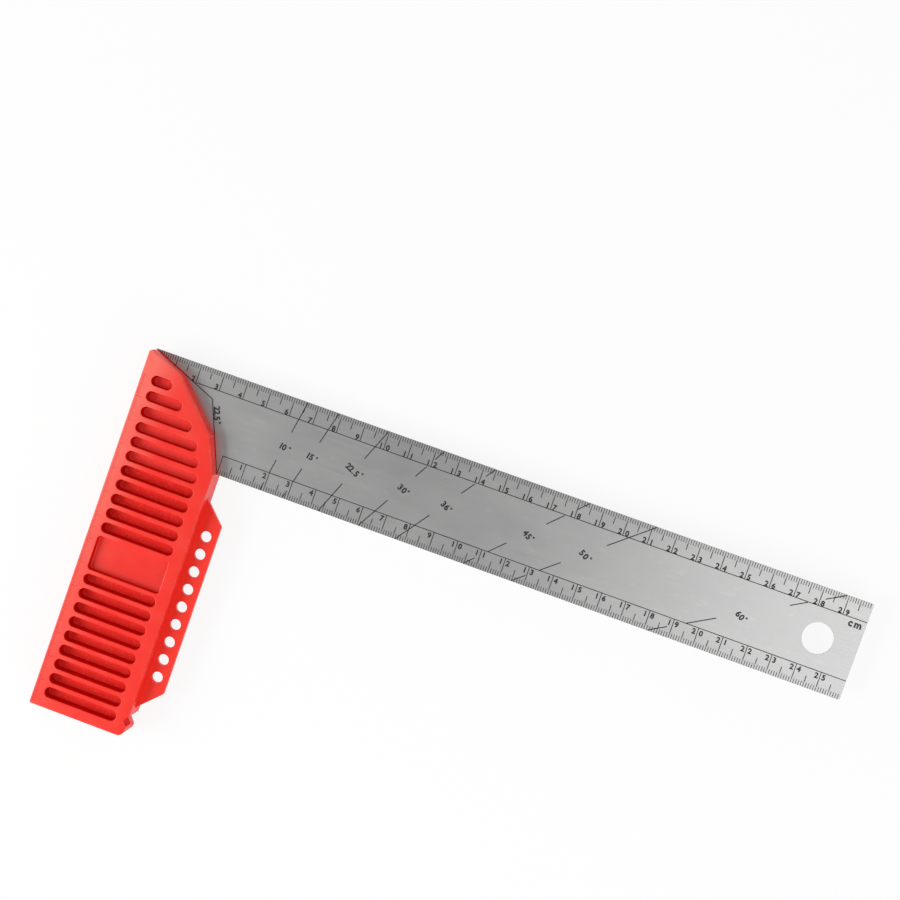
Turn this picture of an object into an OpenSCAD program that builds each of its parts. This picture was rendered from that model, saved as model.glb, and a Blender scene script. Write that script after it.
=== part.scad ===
// Try and mitre square: a ruled steel blade clamped between two handle shells, with a ledge that slides
// out of the handle's inner face and lies on the work. Lengths are millimetres.
// Tool coordinates: X runs along the blade from the zero of its outer scale, Y is 0 at the blade's outer edge
// and negative towards the handle's foot, Z is 0 on the handle's underside.

/* [Blade] */
// Reach of the blade from the zero of its outer scale to its free end
blade_reach = 300; // [220:1:400]
// Width of the blade
blade_w = 39.6; // [36:0.1:44]
// Thickness of the blade
blade_t = 1; // [0.8:0.1:1.6]
// Distance of the blade's hidden end from that zero
tang_inset = 0.5; // [0.4:0.1:2]
// Diameter of the hanging hole
hang_hole_d = 12.4; // [8:0.1:16]
// Distance of the hanging hole's centre from the free end
hang_hole_inset = 15.8; // [12:0.1:25]

/* [Handle] */
// Width of the handle from its outer face to its fence face
handle_w = 40.4; // [38:0.1:44]
// How far the outer face stands out past the scale's zero
outer_proud = 0.4; // [0.2:0.1:0.8]
// Length of the handle from the blade's outer edge to its foot
handle_l = 150.8; // [146:0.1:190]
// Thickness of the handle
handle_t = 14; // [13:0.1:20]
// Angle of each mitre edge, to the blade and to the fence
mitre_angle = 22.5; // [20:0.5:25]
// Length that the 45-degree facet takes off each mitre edge
mitre_cut = 14.4; // [10:0.1:16]
// Length that the flat at the tip takes off each edge
tip_cut = 1.8; // [1:0.1:2.5]
// Radius at the outer corner of the foot
foot_r = 0.8; // [0.4:0.1:2]
// Chamfer along the outer face, the fence face and the foot
edge_chamfer = 0.5; // [0.3:0.05:0.6]
// Chamfer along the two mitre edges
mitre_bevel = 0.8; // [0.7:0.05:0.95]
// Chamfer along the 45-degree facet
facet_bevel = 1.1; // [1:0.05:1.3]

/* [Pivot] */
// Radius of the pivot nose at the inner corner of the foot
nose_r = 3; // [2:0.1:4]
// Width of the sighting notch in the upper shell
notch_w = 4.5; // [3:0.1:6]
// Depth of the sighting notch
notch_depth = 1.8; // [1.2:0.1:3]
// Width of the wider notch below it, in the lower shell
under_notch_w = 5.6; // [4:0.1:7]
// Depth of the wider notch
under_notch_depth = 2.3; // [1.4:0.1:3]
// How far the sighting notch lies above the middle of the wider one
notch_rise = 0.7; // [0.2:0.1:1.5]
// Flat of the fence face left between the wider notch and the nose
nose_flat = 0.2; // [0.1:0.1:3]

/* [Slots] */
// Width of a slot in the handle's faces
slot_w = 4.3; // [3.8:0.1:4.6]
// Depth of the slots over the blade
slot_depth = 3.6; // [2:0.1:4]
// Slots of that depth, counted from the tip
shallow_rows = 6; // [5:1:6]
// Distance of the slots' outer ends from the scale's zero
slot_inset = 4.2; // [3.5:0.1:6]
// Distance of the slots' inner ends from the fence face
slot_margin = 5; // [4:0.1:7]
// Distance of the first slot's centre from the tip
slot_start = 12.05; // [10.5:0.1:13]
// Length of the first slot
slot_first_l = 8.8; // [7:0.1:10]
// Slots in the wide-spaced group beside the mitre
wide_rows = 4; // [3:1:5]
// Spacing of the wide-spaced group
wide_pitch = 6.5; // [6.2:0.05:7]
// Slots between the wide-spaced group and the plain panel
upper_rows = 7; // [5:1:8]
// Spacing of the other slots
slot_pitch = 6.05; // [5.8:0.01:6.3]
// Radius of the curve that the slots' inner ends follow
slot_end_r = 36; // [30:1:40]
// Length of the plain panel between the slots, along the handle
panel_l = 14.3; // [10:0.1:18]
// Depth of the plain panel
panel_depth = 2.6; // [1.8:0.1:3.2]
// Radius of the plain panel's corners
panel_r = 1.6; // [0.8:0.1:2.5]
// Width of the ribs beside the plain panel
panel_rib = 1.6; // [1.2:0.1:2.5]
// Least wall between the last slot and the foot
foot_wall = 3.4; // [3:0.1:5]

/* [Ledge] */
// Reach of the ledge from the fence face when it is out
ledge_reach = 9; // [6:0.1:11]
// Thickness of the ledge
ledge_t = 2; // [1.6:0.1:2.4]
// Distance of the ledge's upper end from the blade's inner edge
ledge_gap = 10.2; // [6:0.1:13]
// Distance of the ledge's lower end from the wider notch
ledge_foot_gap = 2.9; // [0.6:0.1:12]
// Radius of the ledge's outer corners
ledge_corner_r = 1; // [0.4:0.1:2]
// Diameter of a marking hole
mark_hole_d = 4.5; // [3:0.1:5]
// Spacing of the marking holes
mark_hole_pitch = 7.5; // [7:0.1:10]
// Distance of the marking holes from the fence face
mark_hole_inset = 4.4; // [4:0.1:5]
// Least distance from an end hole to the ledge's outer corner
mark_hole_end = 5; // [3:0.1:10]
// Thickness of the fence wall that the ledge passes through
lip_t = 3; // [2:0.1:4]
// Length of the ledge's hidden shoulders, across the handle
shoulder_l = 9; // [7:0.1:10]
// How far each shoulder stands past the end of the ledge
shoulder_w = 2; // [1.2:0.1:2.4]
// Wall left between the ledge's space and the deeper slots
ledge_roof = 0.9; // [0.7:0.1:1.4]
// Running clearance round the ledge
slide_clear = 0.15; // [0.1:0.01:0.3]
// Free travel left behind the ledge when it is in
back_clear = 0.6; // [0.3:0.1:1]

/* [Springs] */
// Length of a friction spring, along the handle
spring_l = 26; // [16:0.5:30]
// Width of a friction spring
spring_w = 5; // [3:0.1:6]
// Thickness of a friction spring
spring_t = 0.3; // [0.2:0.05:0.5]
// Rise of a friction spring's bow
spring_bow = 0.9; // [0.5:0.1:1.2]
// Gap kept round a friction spring
spring_clear = 0.1; // [0.05:0.01:0.15]
// Distance of a spring's middle from the ledge's nearer end
spring_end = 22; // [16:0.5:30]

/* [Fixings] */
// Diameter of a dowel that squares the blade
dowel_d = 3; // [2:0.1:4]
// Wall between a dowel's end and the slots' floors
dowel_cover = 1; // [0.5:0.1:1.5]
// Distance of the dowels from the blade's hidden end and inner edge
dowel_edge = 5.4; // [4:0.1:6]
// Radial gap round a dowel
dowel_clear = 0.03; // [0.02:0.01:0.1]
// Diameter of a screw's head
head_d = 4; // [3.2:0.1:4.2]
// Height of a screw's head
head_h = 1.6; // [1.2:0.1:2]
// Diameter of a screw's shank
shank_d = 2.2; // [1.8:0.1:2.4]
// Wall left over a screw's point
point_cover = 1; // [0.5:0.1:1.5]
// Radial gap round a screw's shank
screw_clear = 0.15; // [0.05:0.01:0.3]
// Length of the cross recess in a screw's head
drive_l = 2.8; // [2:0.1:3]
// Width of the cross recess
drive_w = 0.7; // [0.5:0.1:1]
// Depth of the cross recess
drive_depth = 0.8; // [0.4:0.1:1]

/* [Hidden] */
$fn = 96;
// Overshoot of a cut past the face that it opens
over = 1;

half_t = handle_t / 2;
mid_z = half_t;
fence_x = handle_w - outer_proud;

// Mitre: one edge leaves the tip at the mitre angle to the blade, the other reaches the fence at the
// mitre angle to the fence, where the blade's inner edge crosses it. A facet cuts the corner between them.
mitre_rise = tan(mitre_angle);
mitre_fall = tan(90 - mitre_angle);
mitre_x = (fence_x * mitre_fall - blade_w) / (mitre_fall - mitre_rise);
mitre_corner = [mitre_x, -mitre_x * mitre_rise];
along_first = [cos(mitre_angle), -sin(mitre_angle)];
along_second = [sin(mitre_angle), -cos(mitre_angle)];
facet_high = mitre_corner - along_first * mitre_cut;
facet_low = mitre_corner + along_second * mitre_cut;
tip = [-outer_proud, outer_proud * mitre_rise];
fence_top = [fence_x, -blade_w];
foot_outer = [-outer_proud, -handle_l];
foot_inner = [fence_x, -handle_l];

// Slot rows, counted from the tip
panel_row = slot_start + (wide_rows - 1) * wide_pitch + upper_rows * slot_pitch;
panel_start = panel_row + slot_w / 2 + panel_rib;
panel_end = panel_start + panel_l;
lower_start = panel_end + panel_rib + slot_w / 2;
lower_rows = floor((handle_l - foot_wall - slot_w / 2 - lower_start) / slot_pitch) + 1;
function upper_row(k) = slot_start + min(k, wide_rows - 1) * wide_pitch + max(k - wide_rows + 1, 0) * slot_pitch;
function lower_row(k) = lower_start + k * slot_pitch;

// The slots' inner ends follow a line at 45 degrees that starts at the first slot, blended into a line
// along the fence.
slot_end_max = fence_x - slot_margin;
slot_first_end = slot_inset + slot_first_l;
slot_end_corner = slot_start + slot_end_max - slot_first_end;
slot_end_tangent = slot_end_r * tan(22.5);
function slot_end(y) =
    y < slot_end_corner - slot_end_tangent * cos(45) ? slot_first_end + y - slot_start :
    y > slot_end_corner + slot_end_tangent ? slot_end_max :
    slot_end_max - slot_end_r + sqrt(slot_end_r * slot_end_r - pow(slot_end_corner + slot_end_tangent - y, 2));

// Pivot: the nose is the rounded inner corner of the foot, and the notches lie just above it.
under_notch_y = handle_l - nose_r - nose_flat - under_notch_w / 2;
notch_y = under_notch_y - notch_rise;

// Ledge: its underside is level with the blade's, so both lie on the work.
ledge_start = blade_w + ledge_gap;
ledge_end = under_notch_y - under_notch_w / 2 - ledge_foot_gap;
ledge_l = ledge_end - ledge_start;
ledge_z = mid_z - blade_t / 2;
shoulder_front = fence_x - lip_t - slide_clear;
shoulder_back = shoulder_front - shoulder_l;
cavity_back = shoulder_back - ledge_reach - back_clear;
// The slots over the ledge go down as far as the ledge's space allows.
slot_deep = half_t - (ledge_t - blade_t / 2 + slide_clear) - ledge_roof;
mark_span = ledge_l - 2 * ledge_reach - 2 * mark_hole_end;
mark_holes = floor(mark_span / mark_hole_pitch) + 1;
ledge_middle = (ledge_start + ledge_end) / 2;

// Springs lie under the part of the shoulders that stays over them at both ends of the travel.
spring_x = (shoulder_back + shoulder_front) / 2;
spring_r = (pow(spring_l / 2, 2) + spring_bow * spring_bow) / (2 * spring_bow);
spring_angle = 2 * asin(spring_l / 2 / spring_r);
spring_crest = ledge_z - spring_clear;
spring_pocket = mid_z - spring_crest + spring_bow + spring_t;
function spring_y(k) = k == 1 ? ledge_start + spring_end : ledge_end - spring_end;

// Dowels and screws: places as [X, distance from the blade's outer edge], with a screw's depth of seat.
dowel_places = [[tang_inset + dowel_edge, blade_w / 2], [fence_x - 2 * dowel_edge, blade_w - dowel_edge]];
dowel_l = handle_t - 2 * slot_depth - 2 * dowel_cover;
screw_x = slot_inset + slot_first_l / 2;
blade_screws = [[screw_x, upper_row(0), slot_depth], [slot_end(upper_row(3)) - slot_w, upper_row(3), slot_depth]];
handle_screws = [[screw_x, upper_row(shallow_rows - 1), slot_depth],
    [screw_x, (panel_start + panel_end) / 2, panel_depth], [screw_x, lower_row(lower_rows - 1), slot_deep]];
screw_places = concat(blade_screws, handle_screws);
function shank_l(place) = handle_t - 2 * place[2] - point_cover;

handle_colour = [0.93, 0.16, 0.13];
ledge_colour = [0.9, 0.12, 0.1];
blade_colour = [0.66, 0.66, 0.65];
steel_colour = [0.75, 0.75, 0.77];

// Puts tool coordinates into the part's own frame, centred over the underside.
module tool_frame() {
    translate([(outer_proud - blade_reach) / 2, handle_l / 2, 0]) children();
}

// A round corner at p lies between edges that leave p along unit vectors a and b, taken anticlockwise round
// the plan: its two tangent points, and the sector of its disc that joins them.
function corner_ends(p, a, b, r) = [p + a * r / tan(acos(a * b) / 2), p + b * r / tan(acos(a * b) / 2)];
module corner_sector(p, a, b, r) {
    centre = p + (a + b) / norm(a + b) * r / sin(acos(a * b) / 2);
    ends = corner_ends(p, a, b, r);
    intersection() {
        translate(centre) circle(r);
        polygon([centre, 2 * ends[0] - centre, 2 * ends[1] - centre]);
    }
}

// Plan of the handle, with its mitre facets, and its foot and nose rounded
module handle_plan() {
    polygon(concat(corner_ends(foot_outer, [0, 1], [1, 0], foot_r),
        corner_ends(foot_inner, [-1, 0], [0, 1], nose_r),
        [fence_top, facet_low, facet_high, tip + along_first * tip_cut, tip - [0, tip_cut]]));
    corner_sector(foot_outer, [0, 1], [1, 0], foot_r);
    corner_sector(foot_inner, [-1, 0], [0, 1], nose_r);
}

// Section of the chamfer's cut: x outwards from the edge, y upwards from the face
module chamfer_section(size) {
    polygon([[-size - over, over], [over, -size - over], [over, over]]);
}

// Chamfer along the straight edge from p to q, with the handle on the right-hand side
module straight_chamfer(p, q, size) {
    run = q - p;
    translate([p[0], p[1], half_t]) rotate([0, 0, atan2(run[1], run[0])])
        translate([-over, 0, 0]) rotate([90, 0, 90]) linear_extrude(norm(run) + 2 * over) chamfer_section(size);
}

// Plan of one slot with round ends
module slot_plan(y, end_x) {
    r = slot_w / 2;
    translate([slot_inset + r, -y]) circle(r);
    translate([end_x - r, -y]) circle(r);
    translate([slot_inset + r, -y - r]) square([end_x - slot_inset - slot_w, slot_w]);
}

// Plan of the plain panel between the slots
module panel_plan() {
    w = slot_end_max - slot_inset;
    translate([slot_inset, -panel_end]) {
        translate([panel_r, 0]) square([w - 2 * panel_r, panel_l]);
        translate([0, panel_r]) square([w, panel_l - 2 * panel_r]);
        for (x = [panel_r, w - panel_r]) for (y = [panel_r, panel_l - panel_r])
            translate([x, y]) circle(panel_r);
    }
}

// One half of the handle: the seam lies at Z 0 and the slotted face at half the handle's thickness.
module half_shell() {
    difference() {
        linear_extrude(half_t) handle_plan();
        straight_chamfer(foot_outer, tip, edge_chamfer);
        straight_chamfer(tip, facet_high, mitre_bevel);
        straight_chamfer(facet_high, facet_low, facet_bevel);
        straight_chamfer(facet_low, fence_top, mitre_bevel);
        straight_chamfer(fence_top, foot_inner, edge_chamfer);
        straight_chamfer(foot_inner, foot_outer, edge_chamfer);
        translate([0, 0, half_t - slot_depth]) linear_extrude(slot_depth + over)
            for (k = [0:shallow_rows - 1]) slot_plan(upper_row(k), slot_end(upper_row(k)));
        translate([0, 0, half_t - slot_deep]) linear_extrude(slot_deep + over) {
            for (k = [shallow_rows:wide_rows + upper_rows - 1]) slot_plan(upper_row(k), slot_end(upper_row(k)));
            for (k = [0:lower_rows - 1]) slot_plan(lower_row(k), slot_end_max);
        }
        translate([0, 0, half_t - panel_depth]) linear_extrude(panel_depth + over) panel_plan();
        blade_seat();
    }
}

// A notch through one shell: a V that opens at the fence face
module notch_cut(y, w, depth) {
    half_mouth = w / 2 * (1 + over / depth);
    translate([0, 0, -over]) linear_extrude(half_t + 2 * over)
        polygon([[fence_x - depth, -y], [fence_x + over, -y - half_mouth], [fence_x + over, -y + half_mouth]]);
}

// Half of the blade's seat, cut into a shell at the seam
module blade_seat() {
    seat_x = tang_inset - slide_clear;
    translate([seat_x, -blade_w - slide_clear, -over])
        cube([fence_x + over - seat_x, blade_w + slide_clear + over, blade_t / 2 + over]);
}

// The space that the ledge slides in, cut to a given depth from the seam
module ledge_cavity(depth) {
    translate([shoulder_back, -ledge_end - slide_clear, -over])
        cube([fence_x + over - shoulder_back, ledge_l + 2 * slide_clear, depth + over]);
    translate([cavity_back, -ledge_end - shoulder_w - slide_clear, -over])
        cube([fence_x - lip_t - cavity_back, ledge_l + 2 * shoulder_w + 2 * slide_clear, depth + over]);
}

// Upper shell: takes the ledge's upper side and the screws' points
module upper_shell() {
    color(handle_colour) tool_frame() translate([0, 0, mid_z]) difference() {
        half_shell();
        notch_cut(notch_y, notch_w, notch_depth);
        ledge_cavity(ledge_t - blade_t / 2 + slide_clear);
        for (p = dowel_places) translate([p[0], -p[1], -over])
            cylinder(r = dowel_d / 2 + dowel_clear, h = dowel_l / 2 + dowel_clear + over);
        for (p = screw_places) translate([p[0], -p[1], -over])
            cylinder(r = shank_d / 2 + dowel_clear, h = p[2] + shank_l(p) - mid_z + screw_clear + over);
    }
}

// Lower shell: takes the springs, and the screws' heads seat on the floors of its slots and panel
module lower_shell() {
    color(handle_colour) tool_frame() translate([0, 0, mid_z]) mirror([0, 0, 1]) difference() {
        half_shell();
        notch_cut(under_notch_y, under_notch_w, under_notch_depth);
        ledge_cavity(blade_t / 2 + slide_clear);
        for (k = [1, 2]) spring_seat(spring_y(k));
        for (p = dowel_places) translate([p[0], -p[1], -over])
            cylinder(r = dowel_d / 2 + dowel_clear, h = dowel_l / 2 + dowel_clear + over);
        for (p = screw_places) translate([p[0], -p[1], -over])
            cylinder(r = shank_d / 2 + screw_clear, h = half_t + 2 * over);
    }
}

// Pocket for one friction spring, below the ledge's cavity
module spring_seat(y) {
    translate([spring_x - spring_w / 2 - spring_clear, -y - spring_l / 2 - spring_clear, -over])
        cube([spring_w + 2 * spring_clear, spring_l + 2 * spring_clear, spring_pocket + over]);
}

// Blade: ruled on both edges in use, with the hanging hole near its free end
module blade() {
    color(blade_colour) tool_frame() translate([0, 0, mid_z - blade_t / 2]) difference() {
        translate([tang_inset, -blade_w, 0]) cube([blade_reach - tang_inset, blade_w, blade_t]);
        translate([blade_reach - hang_hole_inset, -blade_w / 2, -over])
            cylinder(d = hang_hole_d, h = blade_t + 2 * over);
        for (p = dowel_places) translate([p[0], -p[1], -over])
            cylinder(r = dowel_d / 2 + dowel_clear, h = blade_t + 2 * over);
        for (p = blade_screws) translate([p[0], -p[1], -over])
            cylinder(r = shank_d / 2 + screw_clear, h = blade_t + 2 * over);
    }
}

// Plan of the ledge: 45-degree ends outside the fence, shoulders inside it that stop it coming out
module ledge_plan() {
    upper_end = -ledge_start;
    lower_end = -ledge_end;
    tip_x = fence_x + ledge_reach;
    upper_tip = [tip_x, upper_end - ledge_reach];
    lower_tip = [tip_x, lower_end + ledge_reach];
    slope = sqrt(2) / 2;
    polygon(concat([[fence_x, upper_end], [shoulder_front, upper_end], [shoulder_front, upper_end + shoulder_w],
            [shoulder_back, upper_end + shoulder_w], [shoulder_back, lower_end - shoulder_w],
            [shoulder_front, lower_end - shoulder_w], [shoulder_front, lower_end], [fence_x, lower_end]],
        corner_ends(lower_tip, [-slope, -slope], [0, 1], ledge_corner_r),
        corner_ends(upper_tip, [0, -1], [-slope, slope], ledge_corner_r)));
    corner_sector(lower_tip, [-slope, -slope], [0, 1], ledge_corner_r);
    corner_sector(upper_tip, [0, -1], [-slope, slope], ledge_corner_r);
}

// Ledge: shown out, with its row of marking holes
module ledge() {
    color(ledge_colour) tool_frame() translate([0, 0, ledge_z]) difference() {
        linear_extrude(ledge_t) ledge_plan();
        for (k = [0:mark_holes - 1])
            translate([fence_x + mark_hole_inset, -ledge_middle + (k - (mark_holes - 1) / 2) * mark_hole_pitch, -over])
                cylinder(d = mark_hole_d, h = ledge_t + 2 * over);
    }
}

// Friction spring: a bowed strip whose crest bears on the ledge's underside
module ledge_spring(k) {
    color(steel_colour) tool_frame() translate([spring_x, -spring_y(k), spring_crest - spring_r])
        rotate([90, -90, 90]) rotate([0, 0, -spring_angle / 2]) rotate_extrude(angle = spring_angle)
            translate([spring_r - spring_t, -spring_w / 2]) square([spring_t, spring_w]);
}

// Dowel: holds the blade square in both shells
module blade_dowel(k) {
    p = dowel_places[k - 1];
    color(steel_colour) tool_frame() translate([p[0], -p[1], mid_z - dowel_l / 2])
        cylinder(d = dowel_d, h = dowel_l);
}

// Screws: driven from the underside, heads down inside the lower shell's slots and panel
module shell_screws() {
    color(steel_colour) tool_frame() for (p = screw_places) translate([p[0], -p[1], p[2]]) difference() {
        union() {
            translate([0, 0, -head_h]) cylinder(d = head_d, h = head_h);
            translate([0, 0, -head_h / 2]) cylinder(d = shank_d, h = shank_l(p) + head_h / 2);
        }
        for (turn = [0, 90]) rotate([0, 0, turn]) translate([-drive_l / 2, -drive_w / 2, -head_h - over])
            cube([drive_l, drive_w, drive_depth + over]);
    }
}

blade();
upper_shell();
lower_shell();
ledge();
ledge_spring(1);  // ledge_spring_1
ledge_spring(2);  // ledge_spring_2
blade_dowel(1);  // blade_dowel_1
blade_dowel(2);  // blade_dowel_2
shell_screws();
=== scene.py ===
# %% [markdown]
# This lesson dresses a right angle ruler: a ruled steel blade held in a slotted red handle, with a pierced
# ledge that slides out of the handle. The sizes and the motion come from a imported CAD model, which is loaded
# as a fixed frame. Each step below makes one piece or one finish around that frame.

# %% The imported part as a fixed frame
import math

import bpy
from mathutils import Matrix, Vector


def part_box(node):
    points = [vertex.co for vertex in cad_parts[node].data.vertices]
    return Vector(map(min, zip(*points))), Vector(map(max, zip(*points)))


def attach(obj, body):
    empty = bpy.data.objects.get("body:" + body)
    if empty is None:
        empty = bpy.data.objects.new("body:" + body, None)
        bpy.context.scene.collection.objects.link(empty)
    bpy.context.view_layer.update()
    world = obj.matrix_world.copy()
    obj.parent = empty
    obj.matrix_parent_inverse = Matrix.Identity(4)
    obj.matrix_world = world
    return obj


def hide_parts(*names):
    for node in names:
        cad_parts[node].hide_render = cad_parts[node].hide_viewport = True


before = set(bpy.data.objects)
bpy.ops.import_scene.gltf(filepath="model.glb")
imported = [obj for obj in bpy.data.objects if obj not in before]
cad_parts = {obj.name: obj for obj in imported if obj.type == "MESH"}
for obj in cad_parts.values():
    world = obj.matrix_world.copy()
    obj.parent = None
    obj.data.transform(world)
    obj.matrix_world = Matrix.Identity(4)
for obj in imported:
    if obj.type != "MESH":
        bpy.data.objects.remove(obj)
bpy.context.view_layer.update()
bpy.ops.object.select_all(action="DESELECT")
print("CAD nodes:", sorted(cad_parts))

# %% [markdown]
# A maker measures this tool in millimetres from the zero of its outer scale, at the blade's outer edge.
# Blender works in metres about the frame's own origin. One small function turns the first kind of place into
# the second, so every size below reads as it would on the bench.

# %% The tool's own millimetres
MM = 0.001
BLADE_END = 300
top_low, top_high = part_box("upper_shell")
under_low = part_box("lower_shell")[0]
blade_low, blade_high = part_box("blade")
zero = Vector((blade_high.x - BLADE_END * MM, blade_high.y, under_low.z))


def spot(x, y, z):
    """A place in the tool's millimetres, as a point of the frame in metres."""
    return zero + Vector((x, y, z)) * MM


FENCE_X = (top_high.x - zero.x) / MM
FOOT_Y = (top_low.y - zero.y) / MM
TOP_Z = (top_high.z - zero.z) / MM
SEAM_Z = (top_low.z - zero.z) / MM
BLADE_WIDTH = (blade_high.y - blade_low.y) / MM
FACE_Z = (blade_high.z - zero.z) / MM
print(f"fence at {FENCE_X:.1f}, foot at {FOOT_Y:.1f}, top at {TOP_Z:.1f}, blade's face at {FACE_Z:.1f} mm")

# %% [markdown]
# Blender's operators act on whatever is selected, so a few helpers select one piece, apply its modifiers, or
# join it to others. They keep each later cell to the shaping itself.

# %% Helpers for whole pieces
def pick(*pieces):
    """Leaves only these pieces selected, the first of them active, in object mode."""
    if bpy.context.mode != "OBJECT":
        bpy.ops.object.mode_set(mode="OBJECT")
    bpy.ops.object.select_all(action="DESELECT")
    for piece in pieces:
        piece.select_set(True)
    bpy.context.view_layer.objects.active = pieces[0]


def settle(piece):
    """Puts a piece's place, turn and scale into its mesh."""
    pick(piece)
    bpy.ops.object.transform_apply(location=True, rotation=True, scale=True)
    return piece


def copy_of(piece):
    """A copy of a piece with its own mesh."""
    twin = piece.copy()
    twin.data = piece.data.copy()
    bpy.context.scene.collection.objects.link(twin)
    return twin


def join(name, pieces):
    """Makes one piece of several."""
    pick(*pieces)
    bpy.ops.object.join()
    whole = bpy.context.object
    whole.name = name
    return settle(whole)


def apply_modifier(piece, kind, **settings):
    """Adds one modifier with its settings, and applies it."""
    pick(piece)
    modifier = piece.modifiers.new(kind.lower(), kind)
    for setting, value in settings.items():
        setattr(modifier, setting, value)
    bpy.ops.object.modifier_apply(modifier=modifier.name)
    return piece


def cut(piece, cutter):
    """Takes the cutter's shape out of a piece, and deletes the cutter."""
    apply_modifier(piece, "BOOLEAN", operation="DIFFERENCE", solver="EXACT", object=cutter)
    bpy.data.objects.remove(cutter)
    return piece


print("helpers for whole pieces ready")

# %% [markdown]
# In edit mode a maker clicks on points and edges. Code clicks by place instead: a test on each point, or on
# both ends of each edge, in the tool's millimetres, says which are selected.

# %% Helpers for edit mode
SMOOTH_ANGLE = 50


def choose(piece, kind, wanted):
    """Enters edit mode with only the wanted points (VERT) or edges (EDGE) of a piece selected."""
    pick(piece)
    mesh = piece.data
    places = [(vertex.co - zero) / MM for vertex in mesh.vertices]
    for part in (mesh.vertices, mesh.edges, mesh.polygons):
        part.foreach_set("select", [False] * len(part))
    chosen = set()
    if kind == "VERT":
        chosen.update(i for i, place in enumerate(places) if wanted(place))
    for edge in mesh.edges:
        if kind == "EDGE" and wanted(*(places[i] for i in edge.vertices)):
            edge.select = True
            chosen.update(edge.vertices)
    for index in chosen:
        mesh.vertices[index].select = True
    bpy.ops.object.mode_set(mode="EDIT")
    bpy.ops.mesh.select_mode(type=kind)


def round_over(piece, width, wanted, steps=2):
    """Rounds the wanted edges to a width in millimetres."""
    choose(piece, "EDGE", wanted)
    bpy.ops.mesh.bevel(offset=width * MM, segments=steps, clamp_overlap=True)
    bpy.ops.object.mode_set(mode="OBJECT")


def face_outwards():
    """Turns the faces of the piece in edit mode outwards, and leaves edit mode."""
    bpy.ops.mesh.select_all(action="SELECT")
    bpy.ops.mesh.normals_make_consistent(inside=False)
    bpy.ops.object.mode_set(mode="OBJECT")


def smooth(piece):
    """Smooth shading over edges flatter than SMOOTH_ANGLE, weighted so that broad faces stay flat."""
    pick(piece)
    bpy.ops.object.shade_smooth_by_angle(angle=math.radians(SMOOTH_ANGLE))
    apply_modifier(piece, "WEIGHTED_NORMAL", keep_sharp=True)


print("helpers for edit mode ready")

# %% [markdown]
# Finishes are made of shader nodes. Written as Python expressions they read like arithmetic: the class below
# wraps one output socket, its operators add Math nodes, and its node method adds any other kind of node.

# %% A wire between shader nodes
class Wire:
    """An output socket of a node tree, on which Python's operators work."""

    def __init__(self, socket):
        self.socket = socket
        self.tree = socket.id_data

    def feed(self, socket, value):
        """Links a socket to a wire, or sets it to a plain value."""
        if isinstance(value, Wire):
            self.tree.links.new(value.socket, socket)
        else:
            socket.default_value = value

    def node(self, kind, settings=None, sockets=None, output=0):
        """Adds a node: its settings first, then the values or wires of its sockets."""
        made = self.tree.nodes.new("ShaderNode" + kind)
        for setting, value in (settings or {}).items():
            setattr(made, setting, value)
        for socket, value in (sockets or {}).items():
            self.feed(made.inputs[socket], value)
        return Wire(made.outputs[output])

    def math(self, operation, first, second=0.0):
        """Adds a Math node between two wires or numbers."""
        return self.node("Math", {"operation": operation}, {0: first, 1: second})

    def __add__(self, other):
        return self.math("ADD", self, other)

    __radd__ = __add__

    def __sub__(self, other):
        return self.math("SUBTRACT", self, other)

    def __rsub__(self, other):
        return self.math("SUBTRACT", other, self)

    def __mul__(self, other):
        return self.math("MULTIPLY", self, other)

    __rmul__ = __mul__

    def __abs__(self):
        return self.math("ABSOLUTE", self)

    def part(self, axis):
        """One coordinate of a wire that carries a place or a direction: 0, 1 or 2."""
        return self.node("SeparateXYZ", {}, {0: self}, output=axis)

    def rise(self, low, high):
        """0 below low, 1 above high, and a smooth rise between them."""
        return self.node("MapRange", {"interpolation_type": "SMOOTHSTEP"},
                         {"Value": self, "From Min": low, "From Max": high}, output="Result")

    def climb(self, low, high):
        """The same rise for a wire that carries a length, between two lengths in millimetres."""
        return self.rise(low * MM, high * MM)

    def blend(self, first, second):
        """The first colour where this wire is 0, the second where it is 1."""
        return self.node("Mix", {"data_type": "RGBA"}, {0: self, 6: first, 7: second}, output=2)

    def noise(self, size, detail=2.0, roughness=0.5, stretch=(1, 1, 1)):
        """Cloudy noise over this wire's place, with blotches about this many millimetres across."""
        scale = [share / (size * MM) for share in stretch]
        place = self.node("VectorMath", {"operation": "MULTIPLY"}, {0: self, 1: scale})
        return self.node("TexNoise", {}, {"Vector": place, "Scale": 1.0, "Detail": detail,
                                          "Roughness": roughness})

    def bump(self, strength, depth):
        """A surface normal tilted by this wire, as a relief of so many millimetres."""
        return self.node("Bump", {}, {"Strength": strength, "Distance": depth * MM, "Height": self})


def start_finish(name):
    """A new material, its shader, and wires that give the place on the piece and the way it faces."""
    material = bpy.data.materials.new(name)
    material.use_nodes = True
    coordinates = material.node_tree.nodes.new("ShaderNodeTexCoord").outputs
    shader = material.node_tree.nodes["Principled BSDF"]
    return material, shader, Wire(coordinates["Object"]), Wire(coordinates["Normal"])


print("shader helper ready")
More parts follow.
